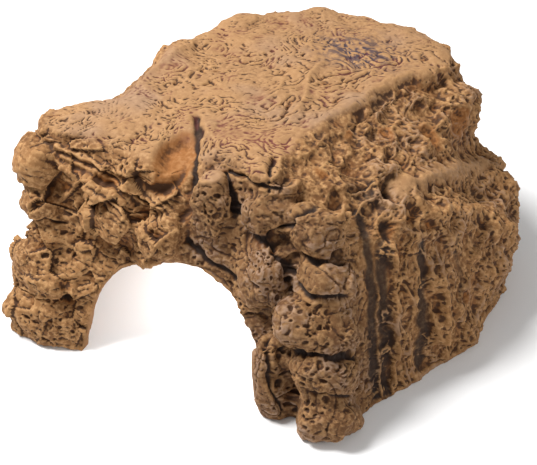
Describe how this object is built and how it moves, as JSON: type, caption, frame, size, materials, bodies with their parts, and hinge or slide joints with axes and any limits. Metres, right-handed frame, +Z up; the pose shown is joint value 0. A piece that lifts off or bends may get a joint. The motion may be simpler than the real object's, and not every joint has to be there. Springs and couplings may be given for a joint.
{
  "type": "resin cave ornament",
  "caption": "Hollow rock-shaped aquarium cave with a flat top, an arched doorway, a pillar of rounded stones and an open underside.",
  "frame": {"origin": "centre of the bounding box at the level of the base rim", "axes": "+X to the right of the doorway and along the longest side, -Y out of the doorway, +Z up"},
  "size_m": [0.2328, 0.223, 0.1091],
  "materials": {
    "resin": "matte"
  },
  "bodies": {
    "root": {"cave_shell": "resin"}
  },
  "joints": []
}
